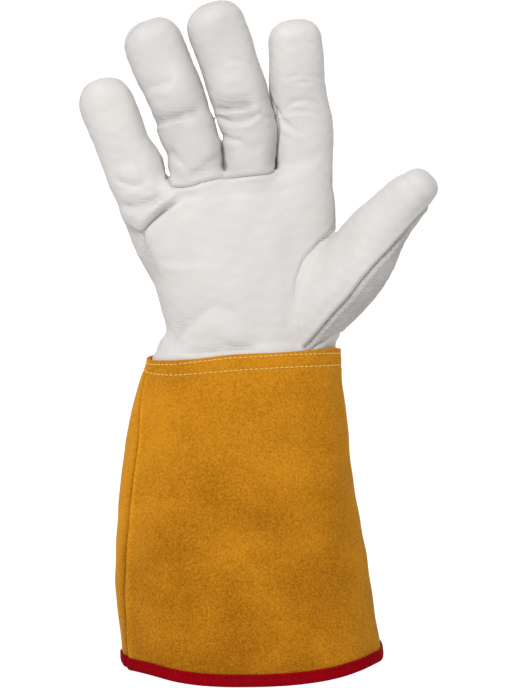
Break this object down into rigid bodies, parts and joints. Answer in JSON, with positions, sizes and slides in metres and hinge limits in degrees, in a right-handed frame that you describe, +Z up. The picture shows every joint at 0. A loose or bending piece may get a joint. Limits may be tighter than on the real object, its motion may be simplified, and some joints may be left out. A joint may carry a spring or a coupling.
{
  "type": "welding gauntlet",
  "caption": "Right-hand leather welding gauntlet with a pale grain-leather hand, thumb set in along a curved seam, flared ochre suede cuff and red bound hem",
  "frame": {"origin": "centre of the arm's way in, at the mouth of the cuff, level with the lowest point of its hem", "axes": "+Z up along the forearm to the fingertips, -Y out of the palm, +X towards the thumb"},
  "size_m": [0.1848, 0.1021, 0.3501],
  "materials": {
    "grain_leather": "smooth pale grain leather, matt",
    "pebbled_leather": "pebbled grey leather, matt",
    "suede": "ochre split suede, napped",
    "binding_tape": "dark red woven binding tape"
  },
  "bodies": {
    "root": {"palm": "grain_leather", "finger_fronts": "grain_leather", "thumb_front": "grain_leather", "thumb_back": "pebbled_leather", "hand_back": "grain_leather", "fourchette_little_ring": "grain_leather", "fourchette_ring_middle": "grain_leather", "fourchette_middle_index": "grain_leather", "cuff": "suede", "hem_binding": "binding_tape"}
  },
  "joints": []
}
